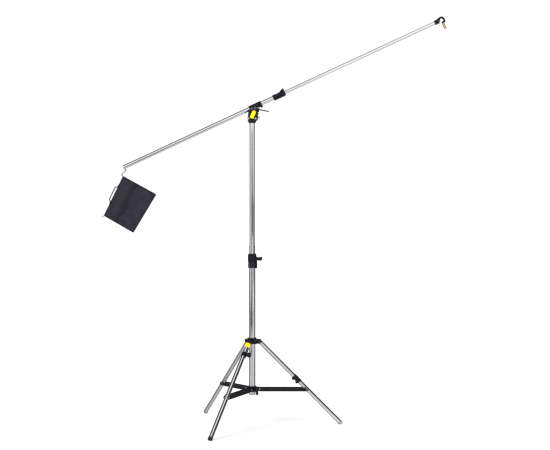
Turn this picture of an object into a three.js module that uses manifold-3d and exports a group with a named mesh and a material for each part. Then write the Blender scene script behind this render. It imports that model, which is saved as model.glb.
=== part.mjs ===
// A folding boom light stand: three hinged legs with spread braces, a telescopic column, and a tilting
// telescopic boom that carries a spigot at its high end and a counterweight bag at its low end.
// Millimetres, +Z up. The boom lies in the XZ plane, its high end towards +X.
import * as THREE from 'three';
import { mergeVertices } from 'three/addons/utils/BufferGeometryUtils.js';
import Module from 'manifold-3d';

const wasm = await Module();
wasm.setup();

const rad = THREE.MathUtils.degToRad;

// ---- Driving dimensions ----

const GAP = 0.3; // between pieces that touch
const RUN = 0.4; // between pieces that slide or turn
const SIDES = 24; // round tubes and collars
const FINE = 12; // small round pieces

// Tubes
const WALL = 1.2;
const COLUMN_R = 17.5;
const MAST_R = 16;
const LEG_R = 11;
const BOOM_R = 12.5;
const EXTENSION_R = 10;

// Column
const COLUMN_LOW = 187;
const COLUMN_HIGH = 1010;
const MAST_LOW = 882;
const MAST_HIGH = 1824;

// Legs: three, 120 degrees apart, each with its pivot at radius LEG_PIVOT_R
const LEG_TURN = 4.2;
const LEG_TURNS = { right: LEG_TURN, front: LEG_TURN - 120, rear: LEG_TURN + 120 };
const LEG_SPREAD = rad(44.6); // from the vertical
const LEG_PIVOT_R = 43;
const LEG_PIVOT_Z = 498;
const LEG_TUBE_END = 684; // from the pivot, along the leg
const FOOT_END = 694;
const FOOT_CUP = 5; // how far the cap reaches up the tube
const LEG_TOP = 8; // the tube's stub above its pivot
const PIVOT_BOLT_R = 4;

// Leg collar
const COLLAR_WALL = 6.2;
const LEG_COLLAR_LOW = 483;
const LEG_COLLAR_HIGH = 519;
const LEG_SCREW_Z = 501;
const EAR_INNER = LEG_R + 0.6;
const EAR_OUTER = EAR_INNER + 4;
const EAR_R = 12;
const LEG_CLIP = [290, 340]; // on the right leg, from its pivot

// Braces
const BRACE_PIVOT_R = 42;
const BRACE_PIVOT_Z = 217;
const BRACE_ON_LEG = 400; // from the leg's pivot, along the leg
const BRACE_SHIFT = -3; // channel's middle, from the line of its pivots
const BRACE_HALF = 10;
const BRACE_SHEET = 1.8;
const BRACE_INNER = 14.8; // half the channel's inner width
const BRACE_WEB = [44, 100];
const BRACE_STUB_R = 3.2;

// Brace collar
const BRACE_COLLAR_LOW = 200;
const BRACE_COLLAR_HIGH = 233;
const BRACE_EAR = [11.8, 14.4];
const BRACE_EAR_R = 8;
const BRACE_SCREW_Z = 211;
const SCREW_TURN = LEG_TURN - 60; // the lock screws face the gap between two legs

// Levelling leg's sliding bracket, along the leg from its pivot
const LEVELLING_TUBE_TOP = 14;
const LEVELLING_CLAMP = [82, 107];
const LEVELLING_BUSH = [16, 42];
const LEVELLING_KNOB_AT = 95;
const LEVELLING_STRIP = [14.8, 17.6];

// Column clamp
const CLAMP_LOW = 932;
const CLAMP_HIGH = 1010.6;
const CLAMP_KNOB_Z = 986;

// Head
const HEAD_LOW = 1786;
const TONGUE_HALF = 22;
const CHEEK_SHEET = 5;
const TILT_X = 18;
const TILT_Z = 1873;
const HEAD_BOLT_X = 21.2;
const HEAD_BOLT_Z = 1812;
const SWIVEL_SCREW_Z = 1820.5;

// Boom: distances along it from the column's axis, and across it
const BOOM_RISE = rad(24.9);
const BOOM_Z = 1877; // where its axis crosses the column's
const BOOM_LOW = -837;
const BOOM_HIGH = 190;
const SLEEVE = [-17, 60];
const SLEEVE_R = 17.5;
const EXTENSION_CLAMP = [136, 214];
const EXTENSION_CLAMP_R = 16.5;
const EXTENSION_KNOB_AT = 202;
const EXTENSION_SCREW_AT = 164;
const EXTENSION_LOW = 92;
const EXTENSION_HIGH = 1200;

// Boom tip
const TIP_LOW = 1185;
const TIP_BODY_END = 1219;
const TIP_R = 14;
const TIP_ARM_HALF = 7;
const SPIGOT_AT = 1231;
const SPIGOT_TOP = -21;
const SPIGOT_END = -58;
const SPIGOT_R = 8;
const TIP_PIN = { along: 1212, across: -9, length: 34 };

// Counterweight bag: its top left corner, the slope of its top edge and its outline below that corner
const BAG_CORNER = { x: -761, z: 1475 };
const BAG_SLOPE = rad(28.9);
const BAG_OUTLINE = [[0, 0], [224, 0], [214.5, -264], [13.3, -260]];
const BAG_EDGE = 6;
const BAG_CROWN = 5;
const BAG_BEVEL = 44;
const LINK = { x: -756.7, z: 1495.4, lean: rad(40.6), wide: 5, wire: 1.5, half: 11.2 };
const HANDLE = { from: 74, to: 166, off: 14, sheet: 4, half: 11 };

// ---- Finishes ----

const finish = (color, roughness, metalness) =>
  new THREE.MeshStandardMaterial({ color, roughness, metalness });
const CHROME = finish(0xd8d9dc, 0.12, 1);
const STEEL = finish(0xb9babd, 0.35, 0.9);
const CASTING = finish(0x1b1b1e, 0.45, 0.3);
const BLACK_STEEL = finish(0x17171a, 0.4, 0.4);
const BLACK_PLASTIC = finish(0x141416, 0.6, 0);
const GREY_PLASTIC = finish(0xb4b6ba, 0.6, 0);
const YELLOW_PLASTIC = finish(0xf2dc10, 0.45, 0);
const BRASS = finish(0xc9a24e, 0.3, 0.9);
const NYLON = finish(0x2b2930, 0.9, 0);
const WEBBING = finish(0x151517, 0.9, 0);

// ---- Helpers ----

// Signed volume of an indexed geometry, negative when its faces point inwards.
function volumeOf(geometry) {
  const [a, b, c] = [0, 1, 2].map(() => new THREE.Vector3());
  const { position } = geometry.attributes;
  const corners = geometry.index.array;
  let volume = 0;
  for (let i = 0; i < corners.length; i += 3) {
    a.fromBufferAttribute(position, corners[i]);
    b.fromBufferAttribute(position, corners[i + 1]);
    c.fromBufferAttribute(position, corners[i + 2]);
    volume += a.dot(b.cross(c)) / 6;
  }
  return volume;
}

// The same shape as a closed surface: shared corners, no flat triangles, faces outwards.
function closed(geometry) {
  const bare = geometry.clone();
  bare.deleteAttribute('normal');
  bare.deleteAttribute('uv');
  const welded = mergeVertices(bare, 1e-4);
  const corners = welded.index.array;
  const kept = [];
  for (let i = 0; i < corners.length; i += 3) {
    const [a, b, c] = corners.slice(i, i + 3);
    if (a !== b && b !== c && c !== a) kept.push(a, b, c);
  }
  welded.setIndex(kept);
  if (volumeOf(welded) < 0) welded.setIndex(kept.reverse());
  return welded;
}

function toManifold(geometry) {
  const skin = closed(geometry);
  return new wasm.Manifold(new wasm.Mesh({
    numProp: 3,
    vertProperties: new Float32Array(skin.attributes.position.array),
    triVerts: new Uint32Array(skin.index.array),
  }));
}

function toGeometry(body) {
  const mesh = body.getMesh();
  const geometry = new THREE.BufferGeometry();
  geometry.setAttribute('position', new THREE.BufferAttribute(mesh.vertProperties, 3));
  geometry.setIndex(new THREE.BufferAttribute(mesh.triVerts, 1));
  return geometry;
}

const join = (first, ...others) =>
  toGeometry(others.reduce((body, other) => body.add(toManifold(other)), toManifold(first)));

const cut = (first, ...tools) =>
  toGeometry(tools.reduce((body, tool) => body.subtract(toManifold(tool)), toManifold(first)));

// A solid of revolution about +Z; its outline is [radius, height] points, open only on the axis.
function turned(outline, sides = SIDES) {
  const points = outline.map(([r, z]) => new THREE.Vector2(r, z));
  if (outline[0][0] > 0) points.push(points[0].clone());
  return closed(new THREE.LatheGeometry(points, sides).rotateX(Math.PI / 2));
}

const pipe = (outer, inner, low, high, sides = SIDES) =>
  turned([[inner, low], [outer, low], [outer, high], [inner, high]], sides);

const rod = (radius, low, high, sides = FINE) =>
  turned([[0, low], [radius, low], [radius, high], [0, high]], sides);

const alongX = (geometry) => geometry.rotateY(Math.PI / 2);
const alongY = (geometry) => geometry.rotateX(-Math.PI / 2);

// A box between two corners.
function block(low, high) {
  const size = high.map((v, i) => v - low[i]);
  const middle = high.map((v, i) => (v + low[i]) / 2);
  return new THREE.BoxGeometry(...size).translate(...middle);
}

// A flat plate: an outline drawn in the XZ plane, from y = low to y = high.
function plate(shape, low, high, curveSegments = 7) {
  const options = { depth: high - low, bevelEnabled: false, curveSegments };
  return closed(new THREE.ExtrudeGeometry(shape, options).rotateX(Math.PI / 2).translate(0, high, 0));
}

const polygon = (points) => new THREE.Shape(points.map(([x, z]) => new THREE.Vector2(x, z)));

// A strip of half width `radius` from x = start to a round end about (end, middle).
function tongueShape(start, end, middle, radius) {
  const shape = new THREE.Shape();
  shape.moveTo(start, middle - radius);
  shape.lineTo(end, middle - radius);
  shape.absarc(end, middle, radius, -Math.PI / 2, Math.PI / 2);
  shape.lineTo(start, middle + radius);
  return shape;
}

// A strip with both ends round.
function slotShape(start, end, middle, radius) {
  const shape = new THREE.Shape();
  shape.moveTo(start, middle - radius);
  shape.lineTo(end, middle - radius);
  shape.absarc(end, middle, radius, -Math.PI / 2, Math.PI / 2);
  shape.lineTo(start, middle + radius);
  shape.absarc(start, middle, radius, Math.PI / 2, Math.PI * 1.5);
  return shape;
}

// A headed bolt along Y, symmetrical about y = 0, with `grip` between its heads.
const bolt = (radius, headRadius, grip, head) => alongY(turned([
  [0, -grip / 2 - head],
  [headRadius, -grip / 2 - head],
  [headRadius, -grip / 2],
  [radius, -grip / 2],
  [radius, grip / 2],
  [headRadius, grip / 2],
  [headRadius, grip / 2 + head],
  [0, grip / 2 + head],
], FINE));

function add(parent, name, geometry, material) {
  const mesh = new THREE.Mesh(geometry, material.clone());
  mesh.name = name;
  parent.add(mesh);
}

// A group placed in its parent, turned about the parent's Y axis.
function frame(parent, x, z, turnY) {
  const group = new THREE.Group();
  group.position.set(x, 0, z);
  group.rotation.y = turnY;
  parent.add(group);
  return group;
}

// ---- Column ----

function columnTube() {
  const screwHole = alongX(rod(4.2, 0, 2 * COLUMN_R)).translate(0, 0, CLAMP_KNOB_Z);
  return cut(pipe(COLUMN_R, COLUMN_R - WALL, COLUMN_LOW, COLUMN_HIGH), screwHole);
}

const columnEndCap = () => turned([
  [0, COLUMN_LOW - 4],
  [COLUMN_R - 1, COLUMN_LOW - 4],
  [COLUMN_R, COLUMN_LOW - 3],
  [COLUMN_R, COLUMN_LOW - GAP],
  [COLUMN_R - WALL - GAP, COLUMN_LOW - GAP],
  [COLUMN_R - WALL - GAP, COLUMN_LOW + 12],
  [0, COLUMN_LOW + 12],
]);

const mastTube = () => pipe(MAST_R, MAST_R - WALL, MAST_LOW, MAST_HIGH);

function columnClamp() {
  const bore = COLUMN_R + RUN;
  const shell = turned([
    [bore, CLAMP_LOW],
    [21.5, CLAMP_LOW],
    [22.5, CLAMP_LOW + 10],
    [22.5, CLAMP_KNOB_Z - 16],
    [24, CLAMP_KNOB_Z - 8],
    [24, CLAMP_HIGH - 3],
    [22.5, CLAMP_HIGH],
    [bore, CLAMP_HIGH],
  ]);
  const boss = alongX(turned([[0, 20], [12, 20], [10, 30], [0, 30]])).translate(0, 0, CLAMP_KNOB_Z);
  const rib = plate(
    polygon([[19, 0], [28.5, 0], [28.5, 20], [27, 54], [28.5, 62], [19, 75]]),
    -4.5,
    4.5,
  ).translate(0, 0, CLAMP_LOW);
  const tubeBore = rod(bore, CLAMP_LOW - 1, CLAMP_HIGH + 1, SIDES);
  const screwHole = alongX(rod(4.2, 0, 40)).translate(0, 0, CLAMP_KNOB_Z);
  return cut(join(shell, boss, rib), tubeBore, screwHole);
}

const columnClampBush = () => turned([
  [MAST_R + RUN, CLAMP_HIGH + GAP],
  [21.5, CLAMP_HIGH + GAP],
  [20.5, CLAMP_HIGH + 6],
  [MAST_R + RUN, CLAMP_HIGH + 6],
]);

// A screw, a neck and a wing that flares towards its end.
function columnClampKnob() {
  const stem = alongX(turned([
    [0, MAST_R + RUN],
    [3.8, MAST_R + RUN],
    [3.8, 30.6],
    [8.5, 30.6],
    [8.5, 33],
    [6.5, 36],
    [0, 36],
  ], FINE));
  const wing = plate(polygon([
    [32.5, -8],
    [48, -9.6],
    [55, -8.4],
    [57.4, -4],
    [59, 9.6],
    [57.2, 11.4],
    [48, 8.4],
    [40, 7],
    [32.5, 8],
  ]), -5.4, 5.4);
  return join(stem, wing).translate(0, 0, CLAMP_KNOB_Z);
}

// ---- Legs: drawn down from the pivot, the leg lying along -Z of its own frame ----

function legTube(top, ...bores) {
  const tube = pipe(LEG_R, LEG_R - WALL, -LEG_TUBE_END, top);
  return bores.length ? cut(tube, ...bores) : tube;
}

const legBore = (along) => alongY(rod(PIVOT_BOLT_R + GAP, -20, 20)).translate(0, 0, -along);

// A cup over the tube's end, cut flat where it stands on the floor.
function footCap() {
  const cup = turned([
    [0, -FOOT_END],
    [10.6, -FOOT_END],
    [12.2, -FOOT_END + 2],
    [12.2, -LEG_TUBE_END + FOOT_CUP],
    [LEG_R + GAP, -LEG_TUBE_END + FOOT_CUP],
    [LEG_R + GAP, -LEG_TUBE_END - GAP],
    [0, -LEG_TUBE_END - GAP],
  ]);
  const ground = block([-2000, -100, -100], [2000, 100, 0])
    .translate(-LEG_PIVOT_R, 0, -LEG_PIVOT_Z)
    .rotateY(LEG_SPREAD);
  return cut(cup, ground);
}

function legClip() {
  const [top, end] = LEG_CLIP;
  const jaw = (along) => alongY(rod(5.5, -9, 9)).translate(-16.5, 0, -along);
  const body = join(pipe(13.4, 5, -end, -top), jaw(top + 10), jaw(end - 10));
  return cut(body, rod(LEG_R + GAP, -end - 1, 1 - top, SIDES));
}

function legCollar() {
  const bore = COLUMN_R + GAP;
  const hub = pipe(bore + COLLAR_WALL, bore, LEG_COLLAR_LOW, LEG_COLLAR_HIGH);
  const boss = alongX(rod(8, 19, 29)).translate(0, 0, LEG_SCREW_Z).rotateZ(rad(SCREW_TURN));
  const screwHole = alongX(rod(3.6, 0, 40)).translate(0, 0, LEG_SCREW_Z).rotateZ(rad(SCREW_TURN));
  const ears = [];
  const holes = [screwHole];
  for (const turn of Object.values(LEG_TURNS)) {
    const ear = tongueShape(17, LEG_PIVOT_R, LEG_PIVOT_Z, EAR_R);
    ears.push(plate(ear, EAR_INNER, EAR_OUTER).rotateZ(rad(turn)));
    ears.push(plate(ear, -EAR_OUTER, -EAR_INNER).rotateZ(rad(turn)));
    const hole = alongY(rod(PIVOT_BOLT_R + GAP, -20, 20)).translate(LEG_PIVOT_R, 0, LEG_PIVOT_Z);
    holes.push(hole.rotateZ(rad(turn)));
  }
  return cut(join(hub, boss, ...ears), rod(bore, 400, 600, SIDES), ...holes);
}

const legCollarScrew = () => alongX(turned([
  [0, COLUMN_R + GAP],
  [3.3, COLUMN_R + GAP],
  [3.3, 29 + GAP],
  [6, 29 + GAP],
  [6, 33],
  [5, 34],
  [0, 34],
], FINE)).translate(0, 0, LEG_SCREW_Z);

// ---- Levelling leg's bracket: an eye on the pivot, a strip behind the tube and a clamp round it ----

function levellingBracket() {
  const [clampTop, clampEnd] = LEVELLING_CLAMP;
  const [stripInner, stripOuter] = LEVELLING_STRIP;
  const eye = alongY(rod(10.6, 0.4 - EAR_INNER, EAR_INNER - 0.4));
  const bridge = block([-stripOuter, -6, -10], [-6, 6, -3]);
  const strip = block([-stripOuter, -6, -clampEnd], [-stripInner, 6, -3]);
  const ring = pipe(15.3, 8, -clampEnd, -clampTop);
  const boss = alongY(rod(7.5, 8, 20)).translate(0, 0, -LEVELLING_KNOB_AT);
  const tubeBore = rod(LEG_R + RUN, -200, -LEVELLING_TUBE_TOP + 1, SIDES);
  const screwHole = alongY(rod(3.6, 0, 30)).translate(0, 0, -LEVELLING_KNOB_AT);
  return cut(join(eye, bridge, strip, ring, boss), tubeBore, legBore(0), screwHole);
}

const levellingBush = () => pipe(14.4, LEG_R + RUN, -LEVELLING_BUSH[1], -LEVELLING_BUSH[0]);

const levellingKnob = () => alongY(turned([
  [0, LEG_R + RUN],
  [3.2, LEG_R + RUN],
  [3.2, 20.5],
  [9, 20.5],
  [10, 25],
  [14, 28],
  [14, 41],
  [12, 43],
  [0, 43],
], FINE)).translate(0, 0, -LEVELLING_KNOB_AT);

const levellingGuide = () => pipe(14.2, LEG_R + RUN, -BRACE_ON_LEG - 11, -BRACE_ON_LEG + 11);

// ---- Braces ----

const braceEnd = {
  x: LEG_PIVOT_R + BRACE_ON_LEG * Math.sin(LEG_SPREAD),
  z: LEG_PIVOT_Z - BRACE_ON_LEG * Math.cos(LEG_SPREAD),
};
const BRACE_LENGTH = Math.hypot(braceEnd.x - BRACE_PIVOT_R, braceEnd.z - BRACE_PIVOT_Z);
const BRACE_FALL = Math.atan2(BRACE_PIVOT_Z - braceEnd.z, braceEnd.x - BRACE_PIVOT_R);

// A channel drawn along +X from its pivot on the collar: two cheeks, joined below by a web.
function brace() {
  const outer = BRACE_INNER + BRACE_SHEET;
  const cheek = slotShape(0, BRACE_LENGTH, BRACE_SHIFT, BRACE_HALF);
  const bottom = BRACE_SHIFT - BRACE_HALF;
  const web = block([BRACE_WEB[0], -outer, bottom], [BRACE_WEB[1], outer, bottom + BRACE_SHEET]);
  const body = join(plate(cheek, BRACE_INNER, outer), web, plate(cheek, -outer, -BRACE_INNER));
  return cut(body, alongY(rod(BRACE_STUB_R + RUN, -20, 20)));
}

const braceStud = () =>
  alongY(rod(PIVOT_BOLT_R, RUN - BRACE_INNER, BRACE_INNER - RUN)).translate(0, 0, -BRACE_ON_LEG);

function braceCollar() {
  const bore = COLUMN_R + RUN;
  const hub = pipe(bore + COLLAR_WALL, bore, BRACE_COLLAR_LOW, BRACE_COLLAR_HIGH);
  const boss = alongX(rod(8, 19, 33)).translate(0, 0, BRACE_SCREW_Z).rotateZ(rad(SCREW_TURN));
  const screwHole = alongX(rod(3.8, 0, 40)).translate(0, 0, BRACE_SCREW_Z).rotateZ(rad(SCREW_TURN));
  const pieces = [];
  for (const turn of Object.values(LEG_TURNS)) {
    const ear = tongueShape(18, BRACE_PIVOT_R, BRACE_PIVOT_Z, BRACE_EAR_R);
    for (const side of [-1, 1]) {
      const [low, high] = BRACE_EAR.map((v) => side * v).sort((a, b) => a - b);
      const stub = [13 * side, 17.4 * side].sort((a, b) => a - b);
      pieces.push(plate(ear, low, high).rotateZ(rad(turn)));
      const pin = alongY(rod(BRACE_STUB_R, ...stub)).translate(BRACE_PIVOT_R, 0, BRACE_PIVOT_Z);
      pieces.push(pin.rotateZ(rad(turn)));
    }
  }
  return cut(join(hub, boss, ...pieces), rod(bore, 100, 300, SIDES), screwHole);
}

// A T-shaped screw: its stem along X, its bar upright.
function braceCollarKnob() {
  const stem = alongX(rod(3.4, COLUMN_R + RUN, 48)).translate(0, 0, BRACE_SCREW_Z);
  const hub = alongX(rod(6.5, 33.5, 50)).translate(0, 0, BRACE_SCREW_Z);
  const shape = new THREE.Shape();
  shape.moveTo(46, BRACE_SCREW_Z - 19);
  shape.absarc(51, BRACE_SCREW_Z - 19, 5, Math.PI, 0);
  shape.lineTo(56, BRACE_SCREW_Z + 19);
  shape.absarc(51, BRACE_SCREW_Z + 19, 5, 0, Math.PI);
  return join(stem, hub, plate(shape, -4.5, 4.5));
}

// ---- Head ----

function headSocket() {
  const cone = turned([
    [0, HEAD_LOW],
    [18.6, HEAD_LOW],
    [28, HEAD_LOW + 15],
    [28, HEAD_LOW + 15.6],
    [0, HEAD_LOW + 15.6],
  ]);
  const tongue = plate(
    polygon([[-24, 14], [28, 14], [33, 25], [32, 42], [-22, 42], [-27, 25]]),
    -TONGUE_HALF,
    TONGUE_HALF,
  ).translate(0, 0, HEAD_LOW);
  const mastBore = rod(MAST_R + RUN, HEAD_LOW - 1, MAST_HIGH + RUN, SIDES);
  const boltHole = (x) => alongY(rod(3.5 + GAP, -30, 30)).translate(x, 0, HEAD_BOLT_Z);
  const screwHole = alongX(rod(3.4, 0, 50)).translate(0, 0, SWIVEL_SCREW_Z);
  return cut(join(cone, tongue), mastBore, boltHole(-HEAD_BOLT_X), boltHole(HEAD_BOLT_X), screwHole);
}

// A side plate, outside the tongue, from its low corners to a round top about the tilt axis.
function headCheek(side) {
  const shape = new THREE.Shape();
  shape.moveTo(-22, HEAD_LOW + 16);
  shape.lineTo(29, HEAD_LOW + 16);
  shape.lineTo(35, HEAD_LOW + 25);
  shape.lineTo(34, HEAD_LOW + 43);
  shape.lineTo(42, HEAD_LOW + 72);
  shape.absarc(TILT_X, TILT_Z, 24, 0, Math.PI);
  shape.lineTo(-22, HEAD_LOW + 64);
  shape.lineTo(-28, HEAD_LOW + 25);
  const near = TONGUE_HALF + GAP;
  const span = [near * side, (near + CHEEK_SHEET) * side].sort((a, b) => a - b);
  const boltHole = (x) => alongY(rod(3.5 + GAP, -40, 40)).translate(x, 0, HEAD_BOLT_Z);
  const tiltHole = alongY(rod(8 + RUN, -40, 40)).translate(TILT_X, 0, TILT_Z);
  return cut(plate(shape, ...span), boltHole(-HEAD_BOLT_X), boltHole(HEAD_BOLT_X), tiltHole);
}

const headBolt = () => bolt(3.5, 5.6, 2 * (TONGUE_HALF + CHEEK_SHEET + 2 * GAP), 3.4);

// A blank plate with a round top, leaning with the head.
function headLabel() {
  const front = -(TONGUE_HALF + CHEEK_SHEET + 2 * GAP);
  const shape = new THREE.Shape();
  shape.moveTo(-10.5, -22);
  shape.lineTo(10.5, -22);
  shape.lineTo(10.5, 14);
  shape.absarc(0, 14, 10.5, 0, Math.PI);
  return plate(shape, front - 0.8, front).rotateY(rad(23)).translate(5, 0, HEAD_LOW + 49);
}

const swivelScrew = () => alongX(turned([
  [0, MAST_R + RUN],
  [3, MAST_R + RUN],
  [3, 36],
  [5.5, 36],
  [5.5, 46],
  [4.5, 47],
  [0, 47],
], FINE)).translate(0, 0, SWIVEL_SCREW_Z);

// The lever stands behind the rear cheek, on the tilt axis.
function tiltLever() {
  const near = TONGUE_HALF + CHEEK_SHEET + 2 * GAP;
  const hub = alongY(rod(12, near + 0.8, near + 11));
  const shape = new THREE.Shape();
  shape.moveTo(0, -4);
  shape.lineTo(80, -3);
  shape.absarc(80, 0, 3.6, -Math.PI / 2, Math.PI / 2);
  shape.lineTo(0, 4);
  return join(hub, plate(shape, near + 3, near + 10)).rotateY(rad(11)).translate(TILT_X, 0, TILT_Z);
}

const tiltCap = () => alongY(turned([[0, 28.4], [9, 28.4], [9, 30.4], [7, 32], [0, 32]], FINE))
  .rotateZ(Math.PI)
  .translate(TILT_X, 0, TILT_Z);

// ---- Boom: drawn along +X of its own frame ----

// The sleeve round the boom, with a round boss across it and a stub each side in the cheeks.
function boomClamp() {
  const tilt = tiltInBoom();
  const sleeve = alongX(pipe(SLEEVE_R, 5, ...SLEEVE));
  const boss = alongY(rod(19, -TONGUE_HALF + RUN, TONGUE_HALF - RUN, SIDES)).translate(tilt.x, 0, tilt.z);
  const stub = alongY(rod(8, -27.6, 27.6)).translate(tilt.x, 0, tilt.z);
  const lip = block([SLEEVE[1] - 12, -7, -23], [SLEEVE[1] + 2, 7, -12]);
  const boomBore = alongX(rod(BOOM_R + RUN, -200, 200, SIDES));
  return cut(join(sleeve, boss, stub, lip), boomBore);
}

function tiltInBoom() {
  const x = TILT_X;
  const z = TILT_Z - BOOM_Z;
  return {
    x: x * Math.cos(BOOM_RISE) + z * Math.sin(BOOM_RISE),
    z: z * Math.cos(BOOM_RISE) - x * Math.sin(BOOM_RISE),
  };
}

const boomOuterTube = () => alongX(pipe(BOOM_R, BOOM_R - WALL, BOOM_LOW, BOOM_HIGH));

const boomEndPlug = () => alongX(rod(BOOM_R - WALL - GAP, BOOM_LOW + 3, BOOM_LOW + 17, SIDES));

// A welded-on eye under the boom's low end.
function boomEndEye() {
  const eye = new THREE.TorusGeometry(5, 1.6, 8, 18).rotateX(Math.PI / 2);
  eye.translate(BOOM_LOW + 6, 0, -BOOM_R - 7.4);
  const foot = rod(3, -BOOM_R - 4, -BOOM_R + 3).translate(BOOM_LOW + 6, 0, 0);
  return cut(join(eye, foot), alongX(rod(BOOM_R + GAP, BOOM_LOW - 10, BOOM_LOW + 30, SIDES)));
}

function extensionClamp() {
  const [low, high] = EXTENSION_CLAMP;
  const r = EXTENSION_CLAMP_R;
  const shell = alongX(turned([
    [BOOM_R + GAP, low],
    [r - 1, low],
    [r, low + 2],
    [r, high - 2],
    [r - 1, high],
    [EXTENSION_R + RUN, high],
    [EXTENSION_R + RUN, BOOM_HIGH + GAP],
    [BOOM_R + GAP, BOOM_HIGH + GAP],
  ]));
  const saddle = block([EXTENSION_KNOB_AT - 18, -8, 9], [EXTENSION_KNOB_AT + 10, 8, 17]);
  const keel = block([low + 4, -5, -19], [high - 6, 5, -14.5]);
  const inside = alongX(rod(EXTENSION_R + RUN, low - 1, high + 1, SIDES));
  const wide = alongX(rod(BOOM_R + GAP, low - 1, BOOM_HIGH + GAP, SIDES));
  const knobHole = rod(3.8, 5, 20).translate(EXTENSION_KNOB_AT, 0, 0);
  const screwHole = rod(4 + GAP, 12, 20).rotateX(rad(45)).translate(EXTENSION_SCREW_AT, 0, 0);
  return cut(join(shell, saddle, keel), inside, wide, knobHole, screwHole);
}

const extensionScrew = () => turned([[0, 13], [4, 13], [4, 17], [3.2, 18.2], [0, 18.2]], FINE)
  .rotateX(rad(45))
  .translate(EXTENSION_SCREW_AT, 0, 0);

// A wing on a screw that presses on the inner tube.
function extensionKnob() {
  const stem = rod(3.4, EXTENSION_R + RUN, 20);
  const wing = polygon([[-15, 17.4], [-12, 21], [6, 29], [11, 27], [14, 17.4]]);
  return join(stem, plate(wing, -5, 5)).translate(EXTENSION_KNOB_AT, 0, 0);
}

const extensionTube = () =>
  alongX(pipe(EXTENSION_R, EXTENSION_R - WALL, EXTENSION_LOW, EXTENSION_HIGH));

const extensionBush = () => alongX(turned([
  [0, EXTENSION_LOW - 6],
  [BOOM_R - WALL - RUN, EXTENSION_LOW - 6],
  [BOOM_R - WALL - RUN, EXTENSION_LOW - GAP],
  [EXTENSION_R - WALL - GAP, EXTENSION_LOW - GAP],
  [EXTENSION_R - WALL - GAP, EXTENSION_LOW + 12],
  [0, EXTENSION_LOW + 12],
]));

// The tip: a socket over the tube, and an arm that hooks over to the lug which holds the spigot.
function tipCasting() {
  const socket = alongX(turned([
    [0, TIP_LOW],
    [TIP_R - 1.5, TIP_LOW],
    [TIP_R, TIP_LOW + 2],
    [TIP_R, TIP_BODY_END - 5],
    [TIP_R - 4, TIP_BODY_END],
    [0, TIP_BODY_END],
  ]));
  const arm = new THREE.Shape();
  arm.moveTo(-35, 8);
  arm.lineTo(-19, 17);
  arm.quadraticCurveTo(-1, 22, 11, 16);
  arm.quadraticCurveTo(19, 8, 18, -8);
  arm.lineTo(16, SPIGOT_TOP);
  arm.lineTo(-6, SPIGOT_TOP);
  arm.lineTo(-6, -11);
  arm.lineTo(7, -9);
  arm.quadraticCurveTo(10, 0, 5, 6);
  arm.quadraticCurveTo(-1, 10, -7, 6);
  arm.lineTo(-12, -1);
  arm.lineTo(-31, -1);
  const tubeBore = alongX(rod(EXTENSION_R + GAP, TIP_LOW - 1, EXTENSION_HIGH + GAP, SIDES));
  const spigotHole = rod(4 + GAP, -30, 0).translate(SPIGOT_AT, 0, 0);
  const pinStub = alongY(rod(2, -17.5, -5)).translate(TIP_PIN.along, 0, TIP_PIN.across);
  const hook = plate(arm, -TIP_ARM_HALF, TIP_ARM_HALF).translate(SPIGOT_AT, 0, 0);
  const body = join(socket, hook, pinStub);
  return cut(body, tubeBore, spigotHole);
}

const spigot = () => turned([
  [0, SPIGOT_END],
  [SPIGOT_R - 1, SPIGOT_END],
  [SPIGOT_R, SPIGOT_END + 1],
  [SPIGOT_R, SPIGOT_END + 15],
  [SPIGOT_R - 1.5, SPIGOT_END + 17],
  [SPIGOT_R - 1.5, SPIGOT_END + 24],
  [SPIGOT_R, SPIGOT_END + 26],
  [SPIGOT_R, SPIGOT_TOP - GAP],
  [4, SPIGOT_TOP - GAP],
  [4, SPIGOT_TOP + 8],
  [0, SPIGOT_TOP + 8],
], SIDES).translate(SPIGOT_AT, 0, 0);

// A pin that hangs straight down from its ring on the casting's stub.
function tipPin() {
  const ring = new THREE.TorusGeometry(4, 1.3, 7, 14).rotateX(Math.PI / 2);
  return join(ring, rod(1.6, -TIP_PIN.length, -3.4)).translate(0, -15.4, 0);
}

// ---- Counterweight bag: drawn below its top left corner, its top edge along +X ----

function bagBody() {
  const shape = polygon(BAG_OUTLINE);
  const options = {
    depth: BAG_EDGE,
    bevelThickness: BAG_CROWN,
    bevelSize: BAG_BEVEL,
    bevelOffset: -BAG_BEVEL,
    bevelSegments: 3,
  };
  const geometry = new THREE.ExtrudeGeometry(shape, options).rotateX(Math.PI / 2);
  return closed(geometry.translate(0, BAG_EDGE / 2, 0));
}

function bagHandle() {
  const { from, to, off, sheet, half } = HANDLE;
  const [edgeX, edgeZ] = BAG_OUTLINE[3];
  const at = (along, out) => [-out + (edgeX * along) / -edgeZ, -along];
  return plate(polygon([
    at(from, 0.6),
    at(from, off),
    at(to, off),
    at(to, 0.6),
    at(to - sheet, 0.6),
    at(to - sheet, off - sheet),
    at(from + sheet, off - sheet),
    at(from + sheet, 0.6),
  ]), -half, half);
}

const ringAt = (radius, wire, x, z) =>
  new THREE.TorusGeometry(radius, wire, 8, 18).rotateX(Math.PI / 2).translate(x, 0, z);

const TOP_RING = { radius: 6, wire: 1.5, x: -9.6, z: 1.5 };
const LOW_RING = { radius: 4.8, wire: 1.2, x: 9.5, z: -269 };

const bagRing = ({ radius, wire, x, z }) => ringAt(radius, wire, x, z);

// A webbing tab with a channel for its ring.
function bagTab(ring, low, high) {
  const channel = ringAt(ring.radius, ring.wire + RUN, ring.x, ring.z);
  return cut(block([low[0], -3, low[1]], [high[0], 3, high[1]]), channel);
}

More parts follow.
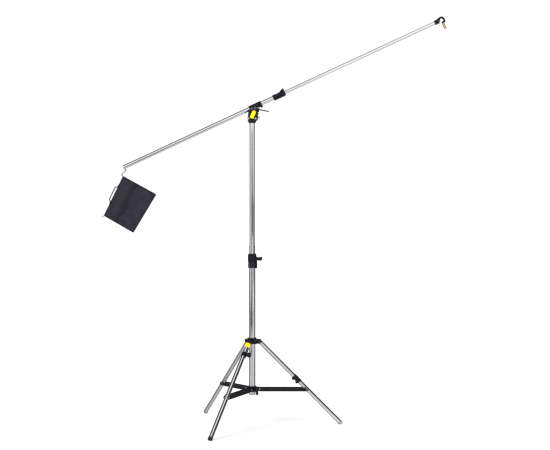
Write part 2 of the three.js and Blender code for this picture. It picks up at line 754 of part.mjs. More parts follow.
// A long link of wire, standing across the boom, from the boom's eye to the bag's ring.
function bagHook() {
  const { wide, wire, half } = LINK;
  const bow = (side) => {
    const ring = new THREE.TorusGeometry(wide, wire, 8, 16).rotateY(Math.PI / 2);
    const inner = block([-9, -20, Math.min(0, -20 * side)], [9, 20, Math.max(0, -20 * side)]);
    return cut(ring, inner).translate(0, 0, side * half);
  };
  const leg = (y) => rod(wire, -half - 0.1, half + 0.1, 8).translate(0, y, 0);
  return join(bow(1), bow(-1), leg(wide), leg(-wide));
}

// ---- Assembly ----

function buildColumn(stand) {
  add(stand, 'column_lower_tube', columnTube(), CHROME);
  add(stand, 'column_end_cap', columnEndCap(), GREY_PLASTIC);
  add(stand, 'column_clamp', columnClamp(), CASTING);
  add(stand, 'column_clamp_bush', columnClampBush(), GREY_PLASTIC);
  add(stand, 'column_clamp_knob', columnClampKnob(), BLACK_PLASTIC);
  add(stand, 'column_upper_tube', mastTube(), CHROME);
  add(stand, 'leg_collar', legCollar(), CASTING);
  add(stand, 'leg_collar_screw', legCollarScrew().rotateZ(rad(SCREW_TURN)), STEEL);
  add(stand, 'brace_collar', braceCollar(), CASTING);
  add(stand, 'brace_collar_knob', braceCollarKnob().rotateZ(rad(SCREW_TURN)), BLACK_PLASTIC);
}

function buildLeg(stand, name) {
  const turned = new THREE.Group();
  turned.rotation.z = rad(LEG_TURNS[name]);
  stand.add(turned);
  const leg = frame(turned, LEG_PIVOT_R, LEG_PIVOT_Z, -LEG_SPREAD);
  add(leg, `leg_pivot_bolt_${name}`, bolt(PIVOT_BOLT_R, 6.5, 2 * (EAR_OUTER + GAP), 4), STEEL);
  add(leg, `foot_cap_${name}`, footCap(), name === 'front' ? BLACK_PLASTIC : GREY_PLASTIC);
  const channel = frame(turned, BRACE_PIVOT_R, BRACE_PIVOT_Z, BRACE_FALL);
  add(channel, `brace_${name}`, brace(), BLACK_STEEL);
  if (name === 'front') {
    add(leg, 'levelling_tube', legTube(-LEVELLING_TUBE_TOP), CHROME);
    add(leg, 'levelling_bracket', levellingBracket(), CASTING);
    add(leg, 'levelling_bush', levellingBush(), YELLOW_PLASTIC);
    add(leg, 'levelling_knob', levellingKnob(), BLACK_PLASTIC);
    add(leg, 'levelling_guide', levellingGuide(), STEEL);
    return;
  }
  add(leg, `leg_tube_${name}`, legTube(LEG_TOP, legBore(0), legBore(BRACE_ON_LEG)), CHROME);
  add(leg, `brace_stud_${name}`, braceStud(), STEEL);
  if (name === 'right') add(leg, 'leg_clip', legClip(), BLACK_PLASTIC);
}

function buildHead(stand) {
  add(stand, 'head_socket', headSocket(), CASTING);
  add(stand, 'head_cheek_front', headCheek(-1), CASTING);
  add(stand, 'head_cheek_rear', headCheek(1), CASTING);
  for (const [name, x] of [['left', -HEAD_BOLT_X], ['right', HEAD_BOLT_X]]) {
    add(stand, `head_bolt_${name}`, headBolt().translate(x, 0, HEAD_BOLT_Z), STEEL);
  }
  add(stand, 'head_label', headLabel(), YELLOW_PLASTIC);
  add(stand, 'swivel_lock_screw', swivelScrew(), STEEL);
  add(stand, 'tilt_lever', tiltLever(), BLACK_STEEL);
  add(stand, 'tilt_cap', tiltCap(), STEEL);
}

function buildBoom(stand) {
  const boom = frame(stand, 0, BOOM_Z, -BOOM_RISE);
  add(boom, 'boom_clamp', boomClamp(), CASTING);
  add(boom, 'boom_outer_tube', boomOuterTube(), CHROME);
  add(boom, 'boom_end_plug', boomEndPlug(), GREY_PLASTIC);
  add(boom, 'boom_end_eye', boomEndEye(), STEEL);
  add(boom, 'extension_clamp', extensionClamp(), CASTING);
  add(boom, 'extension_clamp_screw', extensionScrew(), STEEL);
  add(boom, 'extension_lock_knob', extensionKnob(), BLACK_PLASTIC);
  add(boom, 'boom_inner_tube', extensionTube(), CHROME);
  add(boom, 'boom_inner_bush', extensionBush(), GREY_PLASTIC);
  add(boom, 'tip_casting', tipCasting(), CASTING);
  add(boom, 'spigot', spigot(), BRASS);
  const hanging = frame(boom, TIP_PIN.along, TIP_PIN.across, BOOM_RISE);
  add(hanging, 'tip_pin', tipPin(), STEEL);
}

function buildBag(stand) {
  const bag = frame(stand, BAG_CORNER.x, BAG_CORNER.z, BAG_SLOPE);
  add(bag, 'sandbag', bagBody(), NYLON);
  add(bag, 'bag_handle', bagHandle(), WEBBING);
  add(bag, 'bag_ring', bagRing(TOP_RING), STEEL);
  add(bag, 'bag_ring_tab', bagTab(TOP_RING, [-6.2, -6], [-0.4, 6]), WEBBING);
  add(bag, 'bag_low_ring', bagRing(LOW_RING), STEEL);
  add(bag, 'bag_low_ring_tab', bagTab(LOW_RING, [4, -267], [15, -261.5]), WEBBING);
  const link = frame(stand, LINK.x, LINK.z, LINK.lean);
  add(link, 'bag_hook', bagHook(), STEEL);
}

// The stand stands on z = 0, with the middle of its bounding box on the Z axis.
function buildStand() {
  const stand = new THREE.Group();
  buildColumn(stand);
  Object.keys(LEG_TURNS).forEach((name) => buildLeg(stand, name));
  buildHead(stand);
  buildBoom(stand);
  buildBag(stand);
  stand.updateMatrixWorld(true);
  const box = new THREE.Box3().setFromObject(stand, true);
  const middle = box.getCenter(new THREE.Vector3());
  stand.position.set(-middle.x, -middle.y, -box.min.z);
  const root = new THREE.Group();
  root.add(stand);
  root.updateMatrixWorld(true);
  return root;
}

export default buildStand();
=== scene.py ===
"""The looks of the folding boom light stand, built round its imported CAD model. Metres, +Z up.

Tubes, knobs, caps and screws are turned again from finer outlines. Castings and pressed parts start from
their CAD meshes and get rounded edges, rivets and screw heads. The bag is sewn from two panels and filled.
"""

import math

import bmesh
import bpy
from mathutils import Matrix, Vector, noise


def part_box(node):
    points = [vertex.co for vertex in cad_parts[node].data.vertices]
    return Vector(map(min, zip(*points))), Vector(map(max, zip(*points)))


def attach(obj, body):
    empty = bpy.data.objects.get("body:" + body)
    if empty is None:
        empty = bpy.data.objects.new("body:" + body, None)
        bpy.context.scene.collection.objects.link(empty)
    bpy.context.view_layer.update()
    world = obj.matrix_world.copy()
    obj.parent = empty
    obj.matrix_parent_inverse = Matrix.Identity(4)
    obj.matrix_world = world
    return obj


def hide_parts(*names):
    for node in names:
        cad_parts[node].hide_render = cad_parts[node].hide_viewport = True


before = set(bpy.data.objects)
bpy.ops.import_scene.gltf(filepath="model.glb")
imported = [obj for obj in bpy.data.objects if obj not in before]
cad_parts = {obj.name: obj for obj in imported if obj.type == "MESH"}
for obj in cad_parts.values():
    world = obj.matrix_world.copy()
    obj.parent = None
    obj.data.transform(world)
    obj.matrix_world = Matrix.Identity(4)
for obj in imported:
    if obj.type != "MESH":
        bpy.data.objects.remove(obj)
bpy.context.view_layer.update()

MM = 0.001
rad = math.radians

# ---- Places, as the CAD has them ----

# The column's foot: its axis, at the floor.
low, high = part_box("column_lower_tube")
COLUMN = Matrix.Translation(((low.x + high.x) / 2, (low.y + high.y) / 2, 0))


def turn(degrees, axis):
    return Matrix.Rotation(rad(degrees), 4, axis)


def shift(x, y, z):
    return Matrix.Translation((x * MM, y * MM, z * MM))


# Angles in degrees and lengths in mm. Points are measured from the column's foot, and those of a leg or a
# brace are in the plane that it folds in.
TUBE_WALL = 1.2
TUBE_CUT_EVERY = 60
LEG_TURNS = {"right": 4.2, "front": -115.8, "rear": 124.2}
LEG_SPREAD = 44.6
LEG_PIVOT = (43, 0, 498)
LEG_TUBE_RADIUS = 11
LEG_TUBE_END = -684
LEVELLING_KNOB_DOWN = 95
BRACE_PIVOT = (42, 0, 217)
BRACE_ON_LEG = 400
CLAMP_KNOB_HEIGHT = 986
COLLAR_SCREW_HEIGHT = 501
COLLAR_SCREW_TURN = -55.8
HEAD_BOLT_HEIGHT = 1812
SWIVEL_SCREW_HEIGHT = 1820.5
TILT_PIVOT = (18, 0, 1873)
BOOM_PIVOT = (0, 0, 1877)
BOOM_RISE = 24.9
BAG_CORNER = (-761, 0, 1475)
BAG_LEAN = 28.9
HOOK_CENTRE = (-756.7, 0, 1495.4)
HOOK_LEAN = 40.6

LEG = {name: COLUMN @ turn(a, "Z") @ shift(*LEG_PIVOT) @ turn(-LEG_SPREAD, "Y") for name, a in LEG_TURNS.items()}
reach = LEG_PIVOT[0] + BRACE_ON_LEG * math.sin(rad(LEG_SPREAD)) - BRACE_PIVOT[0]
drop = BRACE_PIVOT[2] - LEG_PIVOT[2] + BRACE_ON_LEG * math.cos(rad(LEG_SPREAD))
BRACE_LENGTH = math.hypot(reach, drop)
BRACE = {
    name: COLUMN @ turn(a, "Z") @ shift(*BRACE_PIVOT) @ Matrix.Rotation(math.atan2(drop, reach), 4, "Y")
    for name, a in LEG_TURNS.items()
}
BOOM = COLUMN @ shift(*BOOM_PIVOT) @ turn(-BOOM_RISE, "Y")
BAG = COLUMN @ shift(*BAG_CORNER) @ turn(BAG_LEAN, "Y")
HOOK = COLUMN @ shift(*HOOK_CENTRE) @ turn(HOOK_LEAN, "Y")
# Each turns +Z to the direction in its name; LOW_Y is -Y.
ALONG_X = turn(90, "Y")
ALONG_Y = turn(-90, "X")
ALONG_LOW_Y = turn(90, "X")

# ---- Materials ----

# The Mix node's colour sockets by number, because its sockets of other types have the same names.
COLOUR_A, COLOUR_B, COLOUR_OUT = 6, 7, 2
# The distance between the Wave texture's bands at scale 1.
WAVE_PITCH = 0.314


def node(tree, kind, sockets=None, **settings):
    """A new shader node. A socket's value is a plain value or another node's output."""
    made = tree.nodes.new("ShaderNode" + kind)
    for name, value in settings.items():
        setattr(made, name, value)
    for name, value in (sockets or {}).items():
        if isinstance(value, bpy.types.NodeSocket):
            tree.links.new(value, made.inputs[name])
        else:
            made.inputs[name].default_value = value
    return made


def surface(name, **sockets):
    """A new material, its node tree and its shader, with the sockets set by name."""
    made = bpy.data.materials.new(name)
    made.use_nodes = True
    shader = made.node_tree.nodes["Principled BSDF"]
    for key, value in sockets.items():
        shader.inputs[key.replace("_", " ")].default_value = value
    return made, made.node_tree, shader


def pattern(tree, scale, stretch=(1, 1, 1), detail=4.0):
    """Noise in the object's own metres, finer or coarser along each axis."""
    place = node(tree, "TexCoord").outputs["Object"]
    mapped = node(tree, "Mapping", {"Vector": place, "Scale": stretch}).outputs["Vector"]
    return node(tree, "TexNoise", {"Vector": mapped, "Scale": scale, "Detail": detail}).outputs["Fac"]


def spread(tree, value, low, high, start=0.3, end=0.7):
    """The value from start to end mapped to low to high."""
    sockets = {"Value": value, "From Min": start, "From Max": end, "To Min": low, "To Max": high}
    return node(tree, "MapRange", sockets).outputs["Result"]


def arithmetic(tree, kind, first, second=0.0):
    """The Math node's result for two values."""
    return node(tree, "Math", {0: first, 1: second}, operation=kind).outputs[0]


def mixed(tree, factor, first, second, blend="MIX"):
    """The Mix node's result for two colours."""
    sockets = {0: factor, COLOUR_A: first, COLOUR_B: second}
    return node(tree, "Mix", sockets, data_type="RGBA", blend_type=blend).outputs[COLOUR_OUT]


def two_tone(tree, value, first, second):
    """One colour where the value is low and another where it is high, with a soft change between."""
    return mixed(tree, spread(tree, value, 0.0, 1.0, 0.35, 0.65), (*first, 1), (*second, 1))


def bump(tree, shader, height, distance, strength=1.0):
    made = node(tree, "Bump", {"Height": height, "Distance": distance, "Strength": strength})
    tree.links.new(made.outputs["Normal"], shader.inputs["Normal"])


def plated(name, colour, second, rough=(0.05, 0.14), along=(1, 1, 0.02)):
    """Polished plating: faint streaks along the tube, cloudy patches and hairline marks."""
    made, tree, shader = surface(name, Metallic=1.0)
    streaks = pattern(tree, 420.0, along, 3.0)
    clouds = pattern(tree, 9.0, (1, 1, 0.3), 3.0)
    tree.links.new(two_tone(tree, clouds, colour, second), shader.inputs["Base Color"])
    tree.links.new(spread(tree, streaks, *rough), shader.inputs["Roughness"])
    bump(tree, shader, streaks, 0.00001, 0.12)
    return made


def coated(name, colour, second, rough, grain, depth, coat=0.0, specular=0.1):
    """A painted or moulded surface: two close colours, a fine grain and uneven gloss."""
    made, tree, shader = surface(name, Coat_Weight=coat, Coat_Roughness=0.25, Specular_IOR_Level=specular)
    tree.links.new(two_tone(tree, pattern(tree, 60.0), colour, second), shader.inputs["Base Color"])
    tree.links.new(spread(tree, pattern(tree, 140.0), *rough), shader.inputs["Roughness"])
    bump(tree, shader, pattern(tree, grain, detail=6.0), depth, 0.6)
    return made


def woven(name, colour, second, pitch, depth, slant=0.0, rough=0.8, sheen=0.0):
    """Cloth in the object's XZ plane: warp and weft threads, slubs and a soft sheen."""
    made, tree, shader = surface(name, Roughness=rough, Sheen_Weight=sheen, Sheen_Roughness=0.4,
                                 Specular_IOR_Level=0.08)
    place = node(tree, "TexCoord").outputs["Object"]
    turned_place = node(tree, "Mapping", {"Vector": place, "Rotation": (0, slant, 0)}).outputs["Vector"]
    threads = []
    for axis in "XZ":
        settings = {"wave_type": "BANDS", "bands_direction": axis, "wave_profile": "SIN"}
        sockets = {"Vector": turned_place, "Scale": WAVE_PITCH / pitch, "Distortion": 0.6, "Detail": 1.0}
        threads.append(node(tree, "TexWave", sockets, **settings).outputs["Fac"])
    height = arithmetic(tree, "ADD", *threads)
    base = two_tone(tree, pattern(tree, 25.0, detail=5.0), colour, second)
    shade = spread(tree, height, 0.72, 1.12, 0.2, 1.6)
    tree.links.new(mixed(tree, 1.0, base, shade, "MULTIPLY"), shader.inputs["Base Color"])
    bump(tree, shader, height, depth)
    return made


CHROME = plated("chrome", (0.86, 0.86, 0.88), (0.80, 0.80, 0.83))
COLUMN_CHROME = plated("column_chrome", (0.82, 0.80, 0.82), (0.72, 0.69, 0.73), (0.07, 0.17))
STEEL = plated("plain_steel", (0.76, 0.76, 0.78), (0.66, 0.66, 0.69), (0.2, 0.38), (1, 1, 1))
YELLOW_ZINC = plated("yellow_zinc", (0.42, 0.31, 0.19), (0.30, 0.22, 0.14), (0.3, 0.45), (1, 1, 1))
BLACK_OXIDE = plated("black_oxide", (0.16, 0.16, 0.18), (0.09, 0.09, 0.10), (0.25, 0.4), (1, 1, 1))
BRASS = plated("brass", (0.80, 0.65, 0.40), (0.66, 0.50, 0.28), (0.14, 0.32), (1, 1, 1))
# Each lighter edge material below goes on rounded edges: partly worn paint, partly a painted highlight that
# outlines the black parts.
CASTING = coated("black_casting", (0.005, 0.005, 0.008), (0.009, 0.008, 0.013), (0.24, 0.38), 2600, 0.00008)
CASTING_EDGE_WEAR_AND_HIGHLIGHT = coated("black_casting_edge_wear_and_highlight", (0.085, 0.085, 0.10), (0.035, 0.035, 0.045), (0.22, 0.34), 2600,
                      0.00005, specular=0.35)
PAINT = coated("black_paint", (0.007, 0.007, 0.009), (0.012, 0.012, 0.014), (0.24, 0.38), 1500, 0.00004)
PAINT_EDGE_WEAR_AND_HIGHLIGHT = coated("black_paint_edge_wear_and_highlight", (0.06, 0.06, 0.064), (0.03, 0.03, 0.033), (0.22, 0.34), 1500,
                    0.00003, specular=0.4)
PLASTIC = coated("black_plastic", (0.008, 0.008, 0.009), (0.013, 0.013, 0.014), (0.42, 0.58), 3200, 0.00006)
PLASTIC_EDGE_WEAR_AND_HIGHLIGHT = coated("black_plastic_edge_wear_and_highlight", (0.035, 0.035, 0.037), (0.022, 0.022, 0.023), (0.36, 0.5), 3200,
                      0.00004)
RUBBER = coated("black_rubber", (0.016, 0.016, 0.017), (0.026, 0.026, 0.027), (0.6, 0.8), 2200, 0.0001)
GREY = coated("grey_plastic", (0.26, 0.27, 0.30), (0.20, 0.21, 0.24), (0.4, 0.56), 2600, 0.00005)
YELLOW = coated("yellow_plastic", (0.93, 0.74, 0.0), (0.88, 0.66, 0.0), (0.3, 0.44), 1800, 0.00003, coat=0.25)
NYLON = woven("nylon_cloth", (0.024, 0.022, 0.031), (0.017, 0.016, 0.023), 0.0011, 0.00016, sheen=0.05)


def paint_crease_shade(material, normal, offset, half, shade):
    """Painted shade: a soft darker band, of that half width in metres, along the cloth's main crease."""
    tree = material.node_tree
    shader = tree.nodes["Principled BSDF"]
    place = node(tree, "TexCoord").outputs["Object"]
    across = node(tree, "VectorMath", {0: place, 1: normal}, operation="DOT_PRODUCT").outputs["Value"]
    wander = spread(tree, pattern(tree, 9.0, detail=3.0), -0.012, 0.012)
    moved = arithmetic(tree, "ADD", across, wander)
    away = arithmetic(tree, "ABSOLUTE", arithmetic(tree, "ADD", moved, -offset))
    level = spread(tree, away, shade, 1.0, 0.2 * half, half)
    base = shader.inputs["Base Color"]
    tree.links.new(mixed(tree, 1.0, base.links[0].from_socket, level, "MULTIPLY"), base)


# The nylon gets painted shade along its main crease, 93 mm in from its first corner.
paint_crease_shade(NYLON, (1, 0, 0), offset=0.093, half=0.026, shade=0.62)
BINDING = woven("binding_tape", (0.005, 0.005, 0.006), (0.008, 0.008, 0.009), 0.0009, 0.00014)
WEBBING = woven("webbing", (0.005, 0.005, 0.006), (0.008, 0.008, 0.009), 0.0016, 0.0003, rad(45), 0.85)
THREAD = coated("thread", (0.05, 0.048, 0.06), (0.035, 0.034, 0.042), (0.6, 0.75), 2500, 0.00004)

# Each finish of the CAD's own shapes: material, material of the rounded edges (lighter, partly edge wear and
# partly a painted highlight), and slot.
CAST = (CASTING, CASTING_EDGE_WEAR_AND_HIGHLIGHT, "black_casting")
PAINTED = (PAINT, PAINT_EDGE_WEAR_AND_HIGHLIGHT, "black_steel")
MOULDED = (PLASTIC, PLASTIC_EDGE_WEAR_AND_HIGHLIGHT, "black_plastic")

# ---- Mesh helpers ----


def bend(start, corner, end, steps):
    """Points along a round corner from start to end."""
    points = []
    for k in range(steps + 1):
        t = k / steps
        points.append(start * (1 - t) ** 2 + corner * 2 * t * (1 - t) + end * t ** 2)
    return points


def rounded(outline, radius=0.4):
    """The outline with each corner off the axis rounded, as far as its neighbours leave room. One that starts
    off the axis is a closed loop."""
    closed_loop = outline[0][0] > 0
    count = len(outline)
    points = []
    for i, corner in enumerate(outline):
        at_end = not closed_loop and i in (0, count - 1)
        if at_end or corner[0] <= 0:
            points.append(tuple(corner))
            continue
        here = Vector(corner[:2])
        before = Vector(outline[(i - 1) % count][:2]) - here
        after = Vector(outline[(i + 1) % count][:2]) - here
        if before.length < 1e-6 or after.length < 1e-6 or abs(before.angle(after) - math.pi) < 0.15:
            points.append(tuple(here))
            continue
        cut_back = min(radius, before.length * 0.45, after.length * 0.45)
        start, end = here + before.normalized() * cut_back, here + after.normalized() * cut_back
        points += [tuple(p) for p in bend(start, here, end, 3)]
    return points


def turned(outline, sides=64, lobes=0, depth=0.0, grip=(0, 0), hexagon=None):
    """A solid turned about +Z from (radius, height) points in mm. Between the grip's heights it has lobes of
    that depth. Hexagon is a radius and two heights, within which its rings are six-sided, as a key socket is."""
    mesh = bmesh.new()
    rings = []
    for radius, height in outline:
        if radius <= 1e-6:
            rings.append([mesh.verts.new((0, 0, height * MM))])
            continue
        ring = []
        for k in range(sides):
            angle = 2 * math.pi * k / sides
            r = radius
            if lobes and grip[0] <= height <= grip[1] and radius > depth * 3:
                r -= depth * (0.5 - 0.5 * math.cos(lobes * angle)) ** 0.7
            if hexagon and radius <= hexagon[0] and hexagon[1] <= height <= hexagon[2]:
                r *= math.cos(math.pi / 6) / math.cos(angle % (math.pi / 3) - math.pi / 6)
            ring.append(mesh.verts.new((r * math.cos(angle) * MM, r * math.sin(angle) * MM, height * MM)))
        rings.append(ring)
    pairs = list(zip(rings, rings[1:]))
    if outline[0][0] > 0:
        pairs.append((rings[-1], rings[0]))
    for a, b in pairs:
        for k in range(sides):
            nxt = (k + 1) % sides
            if len(a) == 1:
                mesh.faces.new((a[0], b[nxt], b[k]))
            elif len(b) == 1:
                mesh.faces.new((a[k], a[nxt], b[0]))
            else:
                mesh.faces.new((a[k], a[nxt], b[nxt], b[k]))
    bmesh.ops.recalc_face_normals(mesh, faces=mesh.faces)
    return mesh


def round_edges(mesh, bevel, segments, sharp):
    """Rounds the edges that are sharper than that many degrees. The roundings take the second material, which is
    lighter: partly edge wear, partly a painted highlight along the edges.
    """
    edges = [e for e in mesh.edges if len(e.link_faces) == 2 and e.calc_face_angle(0) > rad(sharp)]
    bmesh.ops.bevel(mesh, geom=edges, offset=bevel * MM, segments=segments, profile=0.5, affect="EDGES",
                    clamp_overlap=True, material=1)


def from_cad(name, bevel, segments):
    """The CAD node's mesh with shared corners, flat faces joined and its sharp edges rounded."""
    mesh = bmesh.new()
    mesh.from_mesh(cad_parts[name].data)
    for face in mesh.faces:
        face.material_index = 0
    bmesh.ops.remove_doubles(mesh, verts=mesh.verts, dist=2e-5)
    bmesh.ops.dissolve_limit(mesh, angle_limit=rad(1), verts=mesh.verts, edges=mesh.edges)
    round_edges(mesh, bevel, segments, sharp=28)
    bmesh.ops.recalc_face_normals(mesh, faces=mesh.faces)
    return mesh


def swept(path, section, closed_path=False, up=(0, 1, 0)):
    """A section, (across, up) points, carried along a path of points, all in mm."""
    mesh = bmesh.new()
    path = [Vector(p) for p in path]
    count = len(path)
    upward = Vector(up)
    rings = []
    for i, point in enumerate(path):
        before = path[i - 1] if i or closed_path else point
        after = path[(i + 1) % count] if i < count - 1 or closed_path else point
        ahead = (after - before).normalized()
        side = ahead.cross(upward).normalized()
        rise = side.cross(ahead)
        rings.append([mesh.verts.new((point + side * a + rise * b) * MM) for a, b in section])
    pairs = list(zip(rings, rings[1:])) + ([(rings[-1], rings[0])] if closed_path else [])
    size = len(section)
    for a, b in pairs:
        for k in range(size):
            mesh.faces.new((a[k], a[(k + 1) % size], b[(k + 1) % size], b[k]))
    if not closed_path:
        mesh.faces.new(rings[0])
        mesh.faces.new(rings[-1])
    bmesh.ops.recalc_face_normals(mesh, faces=mesh.faces)
    return mesh


def circle(radius, sides=16):
    """Points round a circle."""
    angles = [2 * math.pi * k / sides for k in range(sides)]
    return [(radius * math.cos(a), radius * math.sin(a)) for a in angles]


def ring_mesh(radius, wire):
    """A wire ring in the XZ plane."""
    return swept([(x, 0, z) for x, z in circle(radius, 56)], circle(wire), True)


def extruded(outline, half, bevel=1.2, segments=3):
    """A flat outline in the XZ plane, in mm, as thick as twice half along Y, with its edges rounded."""
    mesh = bmesh.new()
    faces = [[mesh.verts.new((x * MM, side * half * MM, z * MM)) for x, z in outline] for side in (-1, 1)]
    count = len(outline)
    for i in range(count):
        j = (i + 1) % count
        mesh.faces.new((faces[0][i], faces[0][j], faces[1][j], faces[1][i]))
    mesh.faces.new(faces[0])
    mesh.faces.new(faces[1][::-1])
    bmesh.ops.recalc_face_normals(mesh, faces=mesh.faces)
    round_edges(mesh, bevel, segments, sharp=35)
    return mesh


def joined(*meshes):
    """The meshes as one."""
    whole = bmesh.new()
    for part in meshes:
        data = bpy.data.meshes.new("part")
        part.to_mesh(data)
        part.free()
        whole.from_mesh(data)
        bpy.data.meshes.remove(data)
    return whole


def put(name, mesh, material, body, matrix=None, nodes=(), edge=None, sharp=35, weighted=True):
    """A finished piece: placed, smooth, with its material, riding on its body and standing for its nodes."""
    data = bpy.data.meshes.new(name)
    mesh.to_mesh(data)
    mesh.free()
    data.materials.append(material)
    if edge:
        data.materials.append(edge)
    data.shade_smooth()
    data.set_sharp_from_angle(angle=rad(sharp))
    piece = bpy.data.objects.new(name, data)
    bpy.context.scene.collection.objects.link(piece)
    if matrix is not None:
        piece.matrix_world = matrix
    if weighted:
        modifier = piece.modifiers.new("flat faces stay flat", "WEIGHTED_NORMAL")
        modifier.keep_sharp = True
    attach(piece, body)
    if nodes:
        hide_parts(*nodes)
    return piece


def refined(name, finish, body, bevel=0.6, segments=2):
    """The CAD node's own shape with rounded edges."""
    material, edge, slot = finish
    put(name + "_piece", from_cad(name, bevel, segments), material, body, nodes=(name,), edge=edge)


def lathe_piece(name, outline, material, body, slot, matrix, soften=0.5, **how):
    """The CAD node turned again from a finer outline."""
    put(name + "_piece", turned(rounded(outline, soften), **how), material, body, matrix, (name,))


def tube(name, outer, low, high, body, matrix, material=CHROME):
    """A tube along +Z from low to high. Its long faces are cut into short ones."""
    inner = outer - TUBE_WALL
    outline = [(inner, low), (outer, low), (outer, high), (inner, high)]
    mesh = turned(rounded(outline, 0.4), 72)
    long_edges = [e for e in mesh.edges if abs(e.verts[0].co.z - e.verts[1].co.z) > 50 * MM]
    cuts = max(2, int((high - low) / TUBE_CUT_EVERY))
    bmesh.ops.subdivide_edges(mesh, edges=long_edges, cuts=cuts)
    put(name + "_piece", mesh, material, body, matrix, (name,))


# ---- Camera ----

camera = bpy.data.objects.new("camera", bpy.data.cameras.new("camera"))
bpy.context.scene.collection.objects.link(camera)
bpy.context.scene.camera = camera
camera.data.sensor_width = 36
camera.data.lens = 81.76
camera.location = COLUMN @ Vector((0.068, -7.375, 1.326))
camera.rotation_euler = (rad(90 - 1.089), 0, rad(-0.519))
camera.data.clip_start, camera.data.clip_end = 0.1, 200

# ---- Column ----

tube("column_lower_tube", 17.5, 187, 1010, "base", COLUMN, COLUMN_CHROME)
tube("column_upper_tube", 16, 882, 1824, "mast", COLUMN, COLUMN_CHROME)
lathe_piece("column_end_cap", [(0, 183), (12, 183), (12.6, 183.6), (13.4, 183), (16.5, 183), (17.5, 184),
            (17.5, 186.7), (16, 186.7), (16, 199), (0, 199)], GREY, "base", "grey_plastic", COLUMN)
refined("column_clamp", CAST, "base", 0.8)
lathe_piece("column_clamp_bush", [(16.4, 1010.9), (21.5, 1010.9), (20.5, 1016.6), (16.4, 1016.6)], PLASTIC,
            "base", "grey_plastic", COLUMN)


def wing_knob():
    """A screw, a neck and a wing that flares and rises towards its end."""
    stem = turned(rounded([(0, 16.4), (3.8, 16.4), (3.8, 30.6), (8.5, 30.6), (8.5, 32), (6.4, 35), (5.4, 40),
                           (0, 40.4)], 0.6), 48)
    stem.transform(ALONG_X)
    wing = extruded([(32.5, -8.6), (48, -9.8), (55, -8.6), (57.4, -4), (59, 9.6), (57.2, 11.4), (48, 8.6),
                     (40, 7.8), (32.5, 8.6)], 5.6, 1.6)
    return joined(stem, wing)


# Ribs on both sides of the clamp's lower half, all in the lighter edge material: a painted highlight on the
# clamp.
for index, angle in enumerate((-128, -96, -64, 64, 96, 128)):
    rib = extruded([(22, 936), (23.9, 939), (23.9, 962), (22.2, 966)], 1.1, 0.5, 2)
    put(f"column_clamp_rib_{index}", rib, CASTING_EDGE_WEAR_AND_HIGHLIGHT, "base", COLUMN @ turn(angle, "Z"),
        edge=CASTING_EDGE_WEAR_AND_HIGHLIGHT)
put("column_clamp_knob_piece", wing_knob(), PLASTIC, "clamp_knob",
    COLUMN @ shift(0, 0, CLAMP_KNOB_HEIGHT), ("column_clamp_knob",), PLASTIC_EDGE_WEAR_AND_HIGHLIGHT)

# ---- Legs ----

refined("leg_collar", CAST, "base", 0.7)
lathe_piece("leg_collar_screw", [(0, 17.8), (3.3, 17.8), (3.3, 29.3), (6, 29.3), (6, 33), (5, 34), (3, 34),
            (3, 31.6), (0, 31.6)], BLACK_OXIDE, "base", "steel_fittings",
            COLUMN @ turn(COLLAR_SCREW_TURN, "Z") @ shift(0, 0, COLLAR_SCREW_HEIGHT) @ ALONG_X,
            hexagon=(3, 31, 35))

BOLT = [(0, 18.2), (3, 18.2), (3, 20.1), (5, 20.1), (6.5, 19), (6.5, 15.9), (4, 15.9), (4, -15.9), (6.5, -15.9),
        (6.5, -19), (5, -20.1), (0, -20.1)]
for name in LEG_TURNS:
    lathe_piece(f"leg_pivot_bolt_{name}", BOLT, BLACK_OXIDE, "base", "steel_fittings", LEG[name] @ ALONG_LOW_Y,
                0.4, sides=48, hexagon=(3, 18, 20.5))


def foot_cap(name, material, body):
    """A ribbed cup over the leg's end, cut flat where it stands on the floor."""
    outline = [(0, -694), (10.6, -694), (12.2, -692), (12.2, -686), (11.9, -685.5), (11.9, -684.7),
               (12.2, -684.2), (12.2, -679), (11.3, -679), (11.3, -684.3), (0, -684.3)]
    mesh = turned(rounded(outline, 0.4), 64)
    mesh.transform(LEG[name])
    everything = mesh.verts[:] + mesh.edges[:] + mesh.faces[:]
    bottom = Vector((0, 0, 0.0002))
    bmesh.ops.bisect_plane(mesh, geom=everything, plane_co=bottom, plane_no=(0, 0, 1), clear_inner=True)
    bmesh.ops.holes_fill(mesh, edges=[e for e in mesh.edges if e.is_boundary])
    mesh.transform(LEG[name].inverted())
    put(f"foot_cap_{name}_piece", mesh, material, body, LEG[name], (f"foot_cap_{name}",))


tube("leg_tube_right", LEG_TUBE_RADIUS, LEG_TUBE_END, 8, "leg_right", LEG["right"])
tube("leg_tube_rear", LEG_TUBE_RADIUS, LEG_TUBE_END, 8, "leg_rear", LEG["rear"])
tube("levelling_tube", LEG_TUBE_RADIUS, LEG_TUBE_END, -14, "leg_front_tube", LEG["front"])
foot_cap("right", GREY, "leg_right")
foot_cap("rear", GREY, "leg_rear")
foot_cap("front", RUBBER, "leg_front_tube")
refined("leg_clip", MOULDED, "leg_right")

